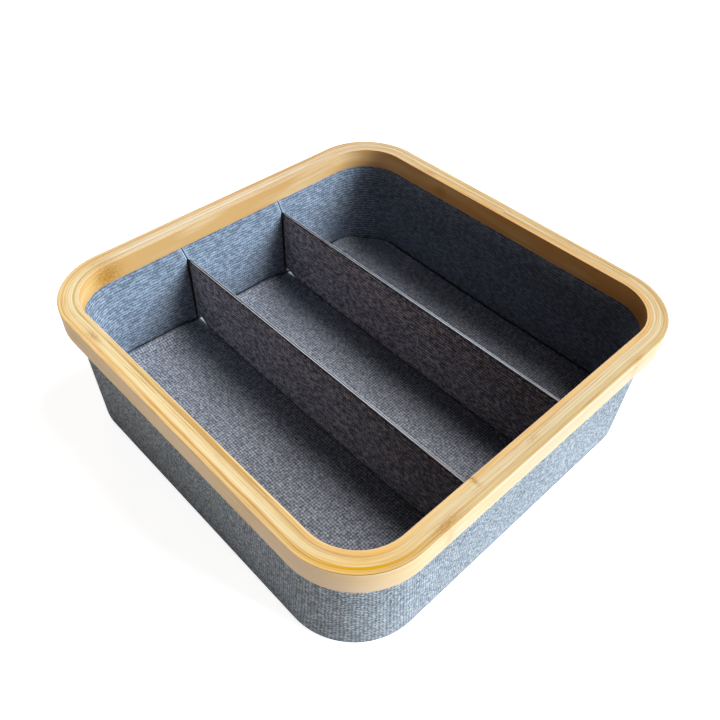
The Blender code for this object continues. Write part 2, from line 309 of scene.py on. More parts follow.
class Bench:
    """The nodes of one material. Each word adds a node and gives back its output."""

    def __init__(self, name):
        """A new material with a Principled shader."""
        self.material = bpy.data.materials.new(name)
        self.material.use_nodes = True
        self.tree = self.material.node_tree
        self.shader = self.tree.nodes["Principled BSDF"]

    def feed(self, socket, value):
        """Links an output to a socket, or sets the socket to a number or colour."""
        if isinstance(value, bpy.types.NodeSocket):
            self.tree.links.new(value, socket)
        else:
            socket.default_value = value

    def add(self, kind, inputs, output=0, **settings):
        """One node, with its settings and what goes into it."""
        node = self.tree.nodes.new(kind)
        for key, value in settings.items():
            setattr(node, key, value)
        for key, value in inputs.items():
            self.feed(node.inputs[key], value)
        return node.outputs[output]

    def place(self, kind):
        """The piece's own map of metres, or its place in the tray."""
        if kind == "run":
            return self.add("ShaderNodeUVMap", {}, uv_map="run")
        return self.add("ShaderNodeTexCoord", {}, "Object")

    def number_at(self, name):
        """A number that was marked at the points."""
        return self.add("ShaderNodeAttribute", {}, "Fac", attribute_name=name)

    def parts(self, vector):
        """The first two coordinates of a place."""
        split = self.tree.nodes.new("ShaderNodeSeparateXYZ")
        self.feed(split.inputs[0], vector)
        return split.outputs[0], split.outputs[1]

    def noise(self, vector, cells, detail=2.0, roughness=0.55):
        """Noise with its own number of cells for each metre, in each direction."""
        scaled = self.add("ShaderNodeMapping", {"Vector": vector, "Scale": cells})
        inputs = {"Vector": scaled, "Scale": 1.0, "Detail": detail, "Roughness": roughness}
        return self.add("ShaderNodeTexNoise", inputs)

    def sum_of(self, *terms):
        """0.5 plus each noise's swing about 0.5, times its weight."""
        total = 0.5
        for value, weight in terms:
            swing = self.add("ShaderNodeMath", {0: value, 1: 0.5}, operation="SUBTRACT")
            total = self.add("ShaderNodeMath", {0: swing, 1: weight, 2: total}, operation="MULTIPLY_ADD")
        return total

    def times(self, first, second):
        """First * second."""
        return self.add("ShaderNodeMath", {0: first, 1: second}, operation="MULTIPLY")

    def spread(self, value, low, high, to_low=0.0, to_high=1.0):
        """A smooth step from to_low to to_high, while the value goes from low to high."""
        inputs = {"Value": value, "From Min": low, "From Max": high, "To Min": to_low, "To Max": to_high}
        return self.add("ShaderNodeMapRange", inputs, interpolation_type="SMOOTHSTEP")

    def mix(self, share, first, second, blend="MIX"):
        """First * (1 - share) + second * share. Blended by MULTIPLY, second is first * second."""
        sockets = {0: share}
        for key, value in ((6, first), (7, second)):
            sockets[key] = value if isinstance(value, bpy.types.NodeSocket) else (*value, 1.0)
        return self.add("ShaderNodeMix", sockets, 2, data_type="RGBA", blend_type=blend)

    def ramp(self, value, stops):
        """Colours at places along a value."""
        node = self.tree.nodes.new("ShaderNodeValToRGB")
        elements = node.color_ramp.elements
        for (position, colour), element in zip(stops, (elements[0], elements[1])):
            element.position, element.color = position, (*colour, 1.0)
        for position, colour in stops[2:]:
            elements.new(position).color = (*colour, 1.0)
        self.feed(node.inputs[0], value)
        return node.outputs[0]

    def finish(self, colour, roughness, height, relief, **constants):
        """Feeds the shader: colour, roughness, a bump as high as relief, and numbers that don't vary."""
        self.feed(self.shader.inputs["Base Color"], colour)
        self.feed(self.shader.inputs["Roughness"], roughness)
        bump = self.add("ShaderNodeBump", {"Height": height, "Distance": relief, "Strength": 1.0})
        self.feed(self.shader.inputs["Normal"], bump)
        for key, value in constants.items():
            self.shader.inputs[key.replace("_", " ").title().replace("Ior", "IOR")].default_value = value
        print("finish made:", self.material.name)
        return self.material


print("words of the bench:", *[word for word in vars(Bench) if not word.startswith("_")])

# %% [markdown]
# ## Bamboo finish
# The strips are split bamboo, planed and lacquered. On the real rim fine fibres run along each strip, with
# broad streaks of straw and tan, and here and there a node leaves a brownish patch with wavy fibres. A
# picture could be wrapped round the strips, but it would stretch in the corners. The map in metres runs along
# the strip, so long thin noise follows every bend. The patches come from a number at each point, and fine
# lines come from the depth at each point.
#
# At the near corner, and inside the corner on the left, glue and lacquer have turned golden, so a third
# number says how near those two places are, and the outer strip has two more lines there. The colour is also
# made browner towards the front and the right, and greyer at the back. Two more numbers say how much, and
# their colours are multiplied in, which keeps the streaks.

# %% Bamboo
# Cells of noise for each metre along the strip and across it. The map has no third direction.
STREAK_CELLS = (4.0, 1250.0, 1.0)
FIBRE_CELLS = (45.0, 2300.0, 1.0)
TONE_CELLS = (6.0, 330.0, 1.0)
CLOUD_CELLS = (30.0, 400.0, 1.0)
WAVER_CELLS = (12.0, 60.0, 1.0)
RIPPLE_CELLS = (450.0, 1400.0, 1.0)
DARK_STREAK = (0.76, 0.66, 0.48)
LIGHT_STREAK = 1.09
PALEST = 0.95
KNOT_BROWN = (0.45, 0.20, 0.030)
AGED_GOLD = (0.94, 0.55, 0.130)
GREYER = (0.89, 0.91, 1.10)
FIBRE_RELIEF = 0.00006
LACQUER_GLOSS = 0.12


def bamboo(name, pale, tan, brown, lines, corner_lines=()):
    """Long thin noises pick a colour from dark over tan and pale to light, and thin lines are mixed over it.

    A line has a depth, a half width, a strength and a colour: strength where |depth - line| < half width.
    Its share wavers along the strip, and a corner line's share is the number that says how golden the wood is.
    Where it is browner or greyer, the colour is multiplied by the strip's brown, or by the shared grey. Knots
    are mixed in last, in ripples.
    """
    bench = Bench(name)
    run = bench.place("run")
    streak = bench.noise(run, STREAK_CELLS, 2.0, 0.7)
    fibre = bench.noise(run, FIBRE_CELLS, 1.0)
    tone = bench.noise(run, TONE_CELLS, 1.0)
    value = bench.sum_of((bench.spread(streak, 0.36, 0.64), 0.60), (fibre, 1.2), (tone, 1.1))
    dark = tuple(np.multiply(DARK_STREAK, tan))
    light = tuple(min(LIGHT_STREAK * v, PALEST) for v in pale)
    colour = bench.ramp(value, [(0.05, dark), (0.34, tan), (0.62, pale), (0.92, light)])
    aged = bench.number_at("aged")
    cloudy = bench.spread(bench.noise(run, CLOUD_CELLS, 1.0), 0.35, 0.65, 0.30, 0.90)
    colour = bench.mix(bench.times(aged, cloudy), colour, AGED_GOLD)
    depth = bench.number_at("depth")
    waver = bench.spread(bench.noise(run, WAVER_CELLS, 1.0), 0.3, 0.6, 0.35, 1.0)
    for share, group in ((waver, lines), (aged, corner_lines)):
        for place, half_width, strength, line_colour in group:
            on_line = bench.add("ShaderNodeMath", {0: depth, 1: place, 2: half_width}, operation="COMPARE")
            on_line = bench.times(on_line, strength)
            colour = bench.mix(bench.times(on_line, share), colour, line_colour)
    for name_of_tone, factor in (("browner", brown), ("greyer", GREYER)):
        colour = bench.mix(bench.number_at(name_of_tone), colour, factor, "MULTIPLY")
    ripple = bench.noise(run, RIPPLE_CELLS, 2.0)
    patch = bench.times(bench.number_at("knot"), bench.spread(ripple, 0.42, 0.56, 0.40, 1.0))
    colour = bench.mix(patch, colour, KNOT_BROWN)
    height = bench.sum_of((fibre, 0.6), (streak, 0.5), (ripple, 0.2))
    roughness = bench.spread(streak, 0.3, 0.7, 0.55, 0.42)
    return bench.finish(colour, roughness, height, FIBRE_RELIEF, specular_ior_level=LACQUER_GLOSS)


print("streaks: cells for each metre", STREAK_CELLS[0], "along and", STREAK_CELLS[1], "across")

# %% [markdown]
# ## Three bamboos
# The outer strip is the tannest. The second strip and the filler are pale and read as one band. The inner
# strip's tone lies between theirs, and its face towards the inside of the tray is golden. The strips differ in
# tone and not in kind, so each is the same finish with its own colours and lines. The lines were read from the
# photo as depths on the rim's top: layers of the wood, glue lines, and a painted highlight on the inner arris.

# %% Strip colours and lines
LINE_BROWN = (0.50, 0.28, 0.075)
OUTER_LINES = (
    # depth, half width, strength, colour
    (0.0000, 0.00010, 0.85, (0.88, 0.635, 0.410)),
    (0.0018, 0.00020, 0.20, LINE_BROWN),
    (0.0031, 0.00022, 0.18, LINE_BROWN),
)
OUTER_CORNER_LINES = (
    (0.0004, 0.00020, 1.00, (0.34, 0.150, 0.035)),
    (0.0036, 0.00070, 1.00, (0.76, 0.390, 0.000)),
)
SECOND_LINES = (
    (0.0064, 0.00016, 0.25, LINE_BROWN),
    (0.0099, 0.00035, 0.50, LINE_BROWN),
)
INNER_LINES = (
    (0.0105, 0.00025, 0.15, LINE_BROWN),
    # A pale line on the inner arris: a painted highlight.
    (0.0134, 0.00025, 0.60, (0.96, 0.860, 0.660)),
    (0.0137, 0.00010, 1.30, (0.75, 0.415, 0.130)),
)
outer_bamboo = bamboo("bamboo_outer", (0.92, 0.650, 0.315), (0.81, 0.490, 0.185), (0.72, 0.740, 0.80),
                      OUTER_LINES, OUTER_CORNER_LINES)
second_bamboo = bamboo("bamboo_second", (0.95, 0.770, 0.460), (0.88, 0.625, 0.295), (0.76, 0.740, 0.78),
                       SECOND_LINES)
inner_bamboo = bamboo("bamboo_inner", (0.94, 0.700, 0.370), (0.85, 0.565, 0.240), (0.81, 0.680, 0.57),
                      INNER_LINES)

# %% [markdown]
# ## Sections of the rim
# Four strips of bamboo are bent round the corners and glued side by side, and then the whole rim is sanded.
# So each strip is one section carried round the plan. The sections meet almost face to face, and tiny eased
# arrises leave the fine dark glue lines that show on the top. The outermost and innermost arrises are rounder,
# because a hand touches them. A bevel modifier could round the edges too, but a section drawn with its own
# arcs says exactly how round each arris is.

# %% Sections
HOLD = 0.00012
ARC_STEPS = 4
FLAT_SPACING = 0.0012


def arc(depth, z, radius, start, stop, steps):
    """Points (depth, z) on a circle about a place, from one angle to another, in quarter turns."""
    turn = np.linspace(start, stop, steps + 1) * QUARTER_TURN
    return np.column_stack([depth + radius * np.cos(turn), z + radius * np.sin(turn)])


def filled(corners, spacing):
    """The same closed section with more points on its flats: one close to each end, and the rest even.

    The close ones keep a flat from looking round where it meets a small arris.
    """
    ends = wrapped(np.asarray(corners), 0, True)
    rows = []
    for start, end in zip(ends[:-1], ends[1:]):
        length = np.linalg.norm(end - start)
        shares = [0.0]
        if length > 4 * HOLD:
            inner = np.linspace(HOLD, length - HOLD, steps_for(length - 2 * HOLD, spacing) + 1)
            shares = np.concatenate([[0.0], inner / length])
        rows.append(start + np.outer(shares, end - start))
    return np.concatenate(rows)


def rounded_block(near, far, low, high, arrises, spacing=FLAT_SPACING):
    """The section of a block: up its near face, over the top, down its far face and back underneath.

    Each arris is a quarter circle with its own radius, and the flats between them are filled.
    """
    sections = []
    for number, radius in enumerate(arrises):
        depth = near + radius if number < 2 else far - radius
        z = low + radius if number in (0, 3) else high - radius
        sections.append(arc(depth, z, radius, 3 - number, 2 - number, ARC_STEPS))
    return filled(np.concatenate(sections), spacing)


SECOND_DEPTH = depth_of("rim_second_strip")
GROOVE_DEPTH = depth_of("rim_groove_strip")
INNER_DEPTH = depth_of("rim_inner_strip")
GROOVE_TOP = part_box("rim_groove_strip")[0].z
GLUE_GAP = 0.00002
TIGHT_ARRIS = 0.00007
SOFT_ARRIS = 0.0003
# How far sanding took the softer strips below the top
SECOND_SANDED = 0.00004
FILLER_SANDED = 0.00008
outer_section = rounded_block(0.0, SECOND_DEPTH - GLUE_GAP, RIM_FOOT, TRAY_TOP,
                              (SOFT_ARRIS, SOFT_ARRIS, TIGHT_ARRIS, TIGHT_ARRIS))
second_section = rounded_block(SECOND_DEPTH, GROOVE_DEPTH - GLUE_GAP, RIM_FOOT, TRAY_TOP - SECOND_SANDED,
                               (TIGHT_ARRIS,) * 4)
filler_section = rounded_block(GROOVE_DEPTH, INNER_DEPTH - GLUE_GAP, GROOVE_TOP, TRAY_TOP - FILLER_SANDED,
                               (TIGHT_ARRIS,) * 4)
print("points in the sections:", len(outer_section), len(second_section), len(filler_section))

# %% [markdown]
# ## Knots
# Where the cane had a node, the strip has a brownish patch. The photo shows ten of them on the top and the
# faces, and one of them is the darkened wood at the joint of the inner strip. Each is a soft spot that is
# longer along the strip than across it. A mask could be painted on each strip, but a list of places is shorter
# and can be corrected. So a knot is worked out from each point's distance along the strip and across it.

# %% Knots
KNOTS = np.array([
    # x, y, z, half length along the strip, half width across it, strength
    (-0.1085, 0.1413, 0.0910, 0.0110, 0.0100, 1.20),
    (0.1413, 0.0590, 0.0920, 0.0060, 0.0050, 0.90),
    (-0.1487, 0.0855, 0.1005, 0.0060, 0.0022, 0.70),
    (-0.0880, -0.1523, 0.1005, 0.0090, 0.0026, 0.85),
    (-0.0116, -0.1477, 0.1005, 0.0045, 0.0015, 0.60),
    (0.1451, 0.0744, 0.1005, 0.0060, 0.0022, 0.75),
    (0.0860, -0.1550, 0.1005, 0.0060, 0.0022, 0.70),
    (-0.0873, -0.1550, 0.0916, 0.0030, 0.0070, 0.45),
    (0.0846, -0.1550, 0.0925, 0.0030, 0.0070, 0.45),
    (-0.0575, -0.1430, 0.1005, 0.0007, 0.0050, 0.90),
])


def knot_strength(points, closed_columns):
    """The strongest knot at each point.

    A knot is strength * exp(-(along / half length)^2 - (across / half width)^2).
    """
    ahead = np.roll(points, -1, 1) - np.roll(points, 1, 1)
    if not closed_columns:
        ahead[:, 0], ahead[:, -1] = ahead[:, 1], ahead[:, -2]
    ahead /= np.linalg.norm(ahead, axis=-1, keepdims=True)
    strongest = np.zeros(points.shape[:2])
    for x, y, z, half_length, half_width, strength in KNOTS:
        away = points - np.array([x, y, z])
        along = np.einsum("ijk,ijk->ij", away, ahead)
        across = np.einsum("ijk,ijk->ij", away, away) - along**2
        spot = strength * np.exp(-(along / half_length) ** 2 - across / half_width**2)
        strongest = np.maximum(strongest, spot)
    return strongest


print("knots:", len(KNOTS), "and the strongest is", KNOTS[:, -1].max())

# %% [markdown]
# ## Strips that close
# The outer strip, the second strip and the filler go all the way round. Each one's joint can't be seen in the
# photo, so each is closed, and only its grain starts and ends in the middle of the right-hand side. A curve
# with a bevel shape could carry the section round too. Here the points are worked out instead, because each
# of them also keeps the numbers that the bamboo finish reads.

# %% Outer strip, second strip and filler
AGED = (
    # place, reach
    ((-0.1370, -0.1420, 0.1005), 0.030),
    ((-0.1130, 0.1395, 0.0870), 0.016),
)
BROWNER_REACH = 0.150
GREYER_START, GREYER_RUN = 0.060, 0.080


def mark_strip(piece, section, points, closed_columns):
    """Keeps a strip's depth, knots, golden places and tones at its points.

    Aged is the greater exp(-(distance from a place / its reach)^2). Browner grows evenly with x - y, from 0
    to 1 between minus and plus its reach. Greyer grows over its run with y from its start, and with x from
    the left side.
    """
    aged = [np.exp(-(np.linalg.norm(points - np.array(place), axis=-1) / reach) ** 2)
            for place, reach in AGED]
    browner = 0.5 + 0.5 * (points[..., 0] - points[..., 1]) / BROWNER_REACH
    at_back = np.clip((points[..., 1] - GREYER_START) / GREYER_RUN, 0.0, 1.0)
    past_left = np.clip((points[..., 0] + TRAY_HALF) / GREYER_RUN, 0.0, 1.0)
    mark(piece, "depth", np.broadcast_to(section[:, :1], points.shape[:2]))
    mark(piece, "knot", knot_strength(points, closed_columns))
    mark(piece, "aged", np.maximum.reduce(aged))
    mark(piece, "browner", np.clip(browner, 0.0, 1.0))
    mark(piece, "greyer", at_back * past_left)


def ring_strip(name, node, section, material, shift):
    """A section carried round the plan."""
    points = place_on_plan(ring, section[:, 0], section[:, 1])
    piece = surface(name, points, run_map(points, shift=shift))
    mark_strip(piece, section, points, True)
    dress(piece, material, "bamboo", "tray", node)


ring_strip("outer_strip", "rim_outer_strip", outer_section, outer_bamboo, shift=0.0)
ring_strip("second_strip", "rim_second_strip", second_section, second_bamboo, shift=0.1)
ring_strip("filler_strip", "rim_groove_strip", filler_section, second_bamboo, shift=0.2)

# %% [markdown]
# ## Pieces that stop
# The inner strip stops at a butt joint on the near side, and each lining panel stops at two slits. Such a run
# starts at a place on one side, goes round some corners and ends at another place. The places may differ from
# row to row, because the slits lean. Cutting a closed ring would leave rough ends, so the run gets its own
# stations, with fine ones where the end is rounded.

# %% Open runs
FREE_END = np.array([0.0])


def approach(length, fine, spacing):
    """Shares of a straight from its free end: the fine places first, and then even steps."""
    even = np.linspace(fine[-1], length, steps_for(length - fine[-1], spacing) + 1)
    return np.concatenate([fine[:-1], even]) / length


def open_run(quarter, corners, first, last, z, fine=FREE_END, spacing=STATION_SPACING):
    """Stations of a run, counter-clockwise from x = first on a side, past some corners, to x = last.

    On the first and the last straight, sx slides evenly from the free end to the corner.
    """
    centre = TRAY_HALF - corner_radius(per_row(z))
    first, last = per_row(first) / centre, per_row(last) / centre
    outward, onward, turned = facing(quarter)
    reach = np.mean(centre)
    if not corners:
        to_middle = approach(abs(np.mean(last - first)) * reach / 2, fine, spacing) / 2
        share = np.concatenate([to_middle, 1.0 - to_middle[-2::-1]])
        sx = first + (last - first) * share
        return sx, np.full(len(share), outward[1]), np.full(len(share), turned)
    share = approach(abs(np.mean(onward[0] - first)) * reach, fine, spacing)[:-1]
    middle = [side_and_corner(quarter + k, spacing, 1.0 if k == 0 else -1.0) for k in range(corners)]
    middle = np.concatenate(middle)[1:]
    arrived_outward, arrived_onward, final = facing(quarter + corners)
    closing = 1.0 - approach(abs(np.mean(last + arrived_onward[0])) * reach, fine, spacing)[::-1]
    sx = [first + (onward[0] - first) * share, np.broadcast_to(middle[:, 0], (len(centre), len(middle)))]
    sx.append(-arrived_onward[0] + (last + arrived_onward[0]) * closing)
    sy = [np.full(len(share), outward[1]), middle[:, 1], np.full(len(closing), arrived_outward[1])]
    angle = [np.full(len(share), turned), middle[:, 2], np.full(len(closing), final)]
    return np.concatenate(sx, axis=1), np.concatenate(sy), np.concatenate(angle)


run_angles = open_run(1, 2, [0.0], [0.0], [TRAY_TOP])[2]
print("stations from the middle of the back round to the front:", len(run_angles))

# %% [markdown]
# ## Inner strip
# The inner strip covers the wall's edge from the inside. Its two ends meet in a butt joint on the near side,
# with a gap of less than half a millimetre. A dark line on a closed strip could stand for the gap, but it would
# leave no room for the glue. So the strip is an open run that goes round all four corners.

# %% Inner strip
RIM_INNER_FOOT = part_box("rim_inner_strip")[0].z
RIM_WIDTH = 0.0137
JOINT_X = -0.0575
JOINT_GAP = 0.0004
inner_section = rounded_block(INNER_DEPTH, RIM_WIDTH, RIM_INNER_FOOT, TRAY_TOP,
                              (TIGHT_ARRIS, TIGHT_ARRIS, SOFT_ARRIS, SOFT_ARRIS))
inner_depth, inner_z = inner_section[:, 0], inner_section[:, 1]
joint_right = np.full(len(inner_section), JOINT_X + JOINT_GAP / 2)
joint_left = np.full(len(inner_section), JOINT_X - JOINT_GAP / 2)
inner_points = place_on_plan(open_run(-1, 4, joint_right, joint_left, inner_z), inner_depth, inner_z)
inner_strip = surface("inner_strip", inner_points, run_map(inner_points, True, False, shift=0.3),
                      closed_columns=False)
mark_strip(inner_strip, inner_section, inner_points, False)
dress(inner_strip, inner_bamboo, "bamboo", "tray", "rim_inner_strip")

# %% [markdown]
# ## Glue in the joint
# The joint was filled with glue, which dried brown and stands a hair below the top. Its true shape hides in the
# gap, so it is a plain block, a little smaller than the strip's section, that spans most of the gap.

# %% Joint glue
GLUE_SPAN = 0.92
GLUE_IN_NEAR, GLUE_IN_FAR = 0.0002, 0.0003
GLUE_ABOVE_FOOT, GLUE_BELOW_TOP = 0.0004, 0.00012
GLUE_CELLS = (900.0, 900.0, 900.0)


def glue_finish():
    """Fine noise picks a colour between dark and light amber, and also gives the relief."""
    bench = Bench("joint_glue")
    tone = bench.noise(bench.place("Object"), GLUE_CELLS)
    colour = bench.ramp(tone, [(0.3, (0.36, 0.20, 0.03)), (0.7, (0.55, 0.34, 0.07))])
    return bench.finish(colour, 0.35, tone, 0.00003)


glue_section = rounded_block(INNER_DEPTH + GLUE_IN_NEAR, RIM_WIDTH - GLUE_IN_FAR,
                             RIM_INNER_FOOT + GLUE_ABOVE_FOOT, TRAY_TOP - GLUE_BELOW_TOP, (TIGHT_ARRIS,) * 4)
glue_x = JOINT_X + np.array([-0.5, 0.0, 0.5]) * GLUE_SPAN * JOINT_GAP
glue_places = (glue_x / (TRAY_HALF - RIM_RADIUS), np.full(3, -1.0), np.full(3, -QUARTER_TURN))
glue_points = place_on_plan(glue_places, glue_section[:, 0], glue_section[:, 1])
glue = surface("joint_glue", glue_points, run_map(glue_points, True, False), closed_columns=False)
dress(glue, glue_finish(), "bamboo", "tray")

# %% [markdown]
# ## Grey cloth
# Outside, lining, floor and dividers are all one kind of cloth: a plain weave of blue-grey and near-black yarns
# whose tone and thickness vary along them, so thin streaks run along the walls and a fine cross weave shows on
# the floor. Two sine waves would give a weave too, but a dead even one. So the finish follows the yarns. A
# rounded-down coordinate numbers each strand, and noise along the strand gives its tone. The tones of the two
# strands that cross are mixed, and a checker says which counts more. Two strands lie side by side in a yarn,
# and the gaps between yarns are dark. Smooth noise bends them a little. A number at the points paints light on
# the cloth: highlights on turned and cut edges, and two small pools of light. Another one paints shade on it.

# %% Cloth finish
CLOTH_DARK = (0.045, 0.053, 0.072)
CLOTH_MIDDLE = (0.200, 0.240, 0.295)
CLOTH_LIGHT = (0.580, 0.660, 0.750)
# The next two colours are painted light and painted shade, not colours of the yarn.
CLOTH_PAINTED_LIGHT = (0.600, 0.680, 0.780)
CLOTH_PAINTED_SHADE = (0.012, 0.014, 0.022)
YARN_BEND = 0.0010
BEND_CELLS = (40.0, 40.0, 40.0)
PATCH_CELLS = (14.0, 22.0, 14.0)
PATCH_WEIGHT = 0.10
STRAND_APART = 17.3
WARP_LAYER = 7.7
MEAN_SINE = 2.0 / math.pi
YARN_RELIEF = 0.00012


def strand_tone(bench, number, along, changes, layer):
    """Noise along a strand, stretched to fill 0 to 1, and read far apart for other numbers and layers."""
    apart = bench.times(number, STRAND_APART)
    place = bench.add("ShaderNodeCombineXYZ", {0: bench.times(along, changes), 1: apart, 2: layer})
    noise = bench.add("ShaderNodeTexNoise", {"Vector": place, "Scale": 1.0, "Detail": 2.0, "Roughness": 0.6})
    return bench.spread(noise, 0.34, 0.66)


def melange(name, kind, strands, changes, warp_share, contrast, gap, painted_light_tint):
    """Tone = weft * (1 - share) + warp * share. Where the warp lies on top, share is 1.25 * warp_share, and
    elsewhere 0.75 * warp_share.

    Strands gives how many warp and weft strands there are in a metre, and changes how often the tone changes
    along a weft and along a warp strand. Contrast stretches the tone about its middle. Gap darkens it towards
    the sides of a yarn, where |sine| of a quarter turn for each strand is small.
    """
    bench = Bench(name)
    place = bench.place(kind)
    bend = bench.noise(place, BEND_CELLS, 2.0)
    bent = [bench.add("ShaderNodeMath", {0: bend, 1: YARN_BEND, 2: part}, operation="MULTIPLY_ADD")
            for part in bench.parts(place)]
    counted = [bench.times(value, count) for value, count in zip(bent, strands)]
    number = [bench.add("ShaderNodeMath", {0: value}, operation="FLOOR") for value in counted]
    weft = strand_tone(bench, number[1], bent[0], changes[0], 0.0)
    warp = strand_tone(bench, number[0], bent[1], changes[1], WARP_LAYER)
    parity = bench.add("ShaderNodeMath", {0: number[0], 1: number[1]}, operation="ADD")
    on_top = bench.add("ShaderNodeMath", {0: parity, 1: 2.0}, operation="FLOORED_MODULO")
    share = bench.add("ShaderNodeMath", {0: on_top, 1: 0.5 * warp_share, 2: 0.75 * warp_share},
                      operation="MULTIPLY_ADD")
    tone = bench.add("ShaderNodeMix", {0: share, 2: weft, 3: warp}, data_type="FLOAT")
    turns = [bench.times(value, QUARTER_TURN) for value in counted]
    waves = [bench.add("ShaderNodeMath", {0: turn}, operation="SINE") for turn in turns]
    crowns = [bench.add("ShaderNodeMath", {0: wave}, operation="ABSOLUTE") for wave in waves]
    crown = bench.add("ShaderNodeMix", {0: warp_share, 2: crowns[1], 3: crowns[0]}, data_type="FLOAT")
    crown = bench.add("ShaderNodeMath", {0: crown, 1: 0.5 - MEAN_SINE}, operation="ADD")
    cloud = bench.noise(place, PATCH_CELLS, 2.0)
    value = bench.sum_of((tone, contrast), (crown, gap), (cloud, PATCH_WEIGHT))
    stops = [(0.05, CLOTH_DARK), (0.50, CLOTH_MIDDLE), (0.95, CLOTH_LIGHT)]
    colour = bench.ramp(value, [(at, tuple(np.multiply(painted_light_tint, yarn))) for at, yarn in stops])
    # Painted light first, then painted shade, from the numbers at the points.
    colour = bench.mix(bench.number_at("edge"), colour, CLOTH_PAINTED_LIGHT)
    colour = bench.mix(bench.number_at("crease"), colour, CLOTH_PAINTED_SHADE)
    height = bench.sum_of((bench.times(crowns[0], crowns[1]), 0.7), (tone, 0.2))
    roughness = bench.spread(value, 0.2, 0.8, 0.95, 0.85)
    return bench.finish(colour, roughness, height, YARN_RELIEF, specular_ior_level=0.05)


# Each copy's tint is painted light: it gives the cloth the brightness and colour cast of the light on that
# piece.
cover_finish = melange("cover_cloth", "run", strands=(1050.0, 900.0), changes=(380.0, 460.0),
                       warp_share=0.42, contrast=0.52, gap=0.48, painted_light_tint=(1.24, 1.13, 1.03))
lining_finish = melange("lining_cloth", "run", strands=(1000.0, 850.0), changes=(230.0, 520.0),
                        warp_share=0.20, contrast=0.38, gap=0.36, painted_light_tint=(1.00, 1.00, 1.03))
floor_finish = melange("floor_cloth", "Object", strands=(980.0, 980.0), changes=(460.0, 460.0),
                       warp_share=0.50, contrast=0.50, gap=0.48, painted_light_tint=(1.10, 1.03, 1.03))
facing_finish = melange("facing_cloth", "run", strands=(880.0, 800.0), changes=(230.0, 480.0),
                        warp_share=0.20, contrast=0.64, gap=0.60, painted_light_tint=(1.24, 0.97, 0.89))

# %% [markdown]
# ## Outer cloth
# The cloth outside is one length, glued round the wall from just under the rim and turned under the base, where
# its hem is glued down. A modifier could thicken a bare sheet, but a section that is drawn in full has round
# cut edges. So it is one closed section of cloth, folded at the foot, carried round the plan. A row of points
# at each end of a flat keeps the wall straight and the fold round.

# %% Cover
COVER_DEPTH = depth_of("outer_cover")
COVER_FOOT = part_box("outer_cover")[0].z
CLOTH_THICKNESS = 0.0008
CLOTH_SPACING = 0.0020
SEAT_GAP = 0.0003
FOLD_RADIUS = 0.0025
FOLD_STEPS = 8
HEM = 0.0160
CUT_EDGE = 0.00035
CUT_STEPS = 3


def cover_section():
    """Down the outer face, round the fold to the hem, and back along the inner face."""
    inner = COVER_DEPTH + CLOTH_THICKNESS
    top = RIM_FOOT - SEAT_GAP - CUT_EDGE
    fold = COVER_DEPTH + FOLD_RADIUS
    fold_z = COVER_FOOT + FOLD_RADIUS
    hem = fold + HEM - CUT_EDGE
    return filled(np.concatenate([
        arc(inner - CUT_EDGE, top, CUT_EDGE, 0, 1, CUT_STEPS),
        arc(COVER_DEPTH + CUT_EDGE, top, CUT_EDGE, 1, 2, CUT_STEPS),
        arc(fold, fold_z, FOLD_RADIUS, 2, 3, FOLD_STEPS),
        arc(hem, COVER_FOOT + CUT_EDGE, CUT_EDGE, 3, 4, CUT_STEPS),
        arc(hem, COVER_FOOT + CLOTH_THICKNESS - CUT_EDGE, CUT_EDGE, 0, 1, CUT_STEPS),
        arc(fold, fold_z, FOLD_RADIUS - CLOTH_THICKNESS, 3, 2, FOLD_STEPS),
    ]), CLOTH_SPACING)


cover_outline = cover_section()
cover_points = place_on_plan(ring, cover_outline[:, 0], cover_outline[:, 1])
cover = surface("cover_cloth", cover_points, run_map(cover_points), sharp=CLOTH_SHARP)
dress(cover, cover_finish, "fabric", "tray", "outer_cover")

# %% [markdown]
# ## Slits between the lining panels
# Four boards wrapped in cloth stand inside the wall. The two side panels are bent round the corners, and the
# other two fill the space between the slits. A slit is upright along a divider's left face, where the
# divider's end hides half of its width, and above the divider it is narrow and leans. Nothing has to be cut:
# a slit is what two panels leave free, so its middle and its width at each height are enough.

# %% Slits
DIVIDER_PLACES = {"left": -0.0434, "right": 0.0476}
DIVIDER_HALF = 0.00125
DIVIDER_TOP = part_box("left_divider_left_facing")[1].z
SLIT_LEAN = 0.0040
SLIT = 0.0007
SLIT_FOOT = 0.0030
SLIT_CHANGE = 0.0010


def slit_x(side, z):
    """Middle of a slit: the divider's left face, less a lean that grows evenly above the divider's top."""
    share = np.clip((z - DIVIDER_TOP) / (RIM_INNER_FOOT - DIVIDER_TOP), 0.0, 1.0)
    return DIVIDER_PLACES[side] - DIVIDER_HALF - SLIT_LEAN * share


def slit_half(z):
    """Half the width of a slit: wide behind the divider, and narrow from just above its top."""
    return np.where(z < DIVIDER_TOP + SLIT_CHANGE, SLIT_FOOT, SLIT) / 2


for side in DIVIDER_PLACES:
    foot_x, top_x = slit_x(side, 0.0), slit_x(side, RIM_INNER_FOOT)
    print(f"{side} slit: x {foot_x:.4f} at its foot, {top_x:.4f} under the rim")

# %% [markdown]
# ## Lining panels
# The cloth turns round the end of each board. A bevel modifier would round it too, but with one radius, and the
# ends are rounder than the long arrises. So the panel's thickness falls away in a quarter circle there, and a
# painted highlight lightens the turned edge above the dividers. In the photo the lining of the right wall is
# darker than these lamps leave it, so painted shade darkens its cloth towards that wall.

# %% Lining
LINING_DEPTH = depth_of("lining_right_fabric")
LINING_CLOTH = 0.0007
LINING_ARRISES = (0.0001, 0.0001, 0.0003, 0.0002)
FACE_START = 0.0004
END_ROUND = 0.0006
END_STEPS = 6
END_HOLD = 0.0002
FLAT_END = 0.06
RIGHT_SHADE = 0.42
RIGHT_SHADE_START, RIGHT_SHADE_RUN = 0.120, 0.020


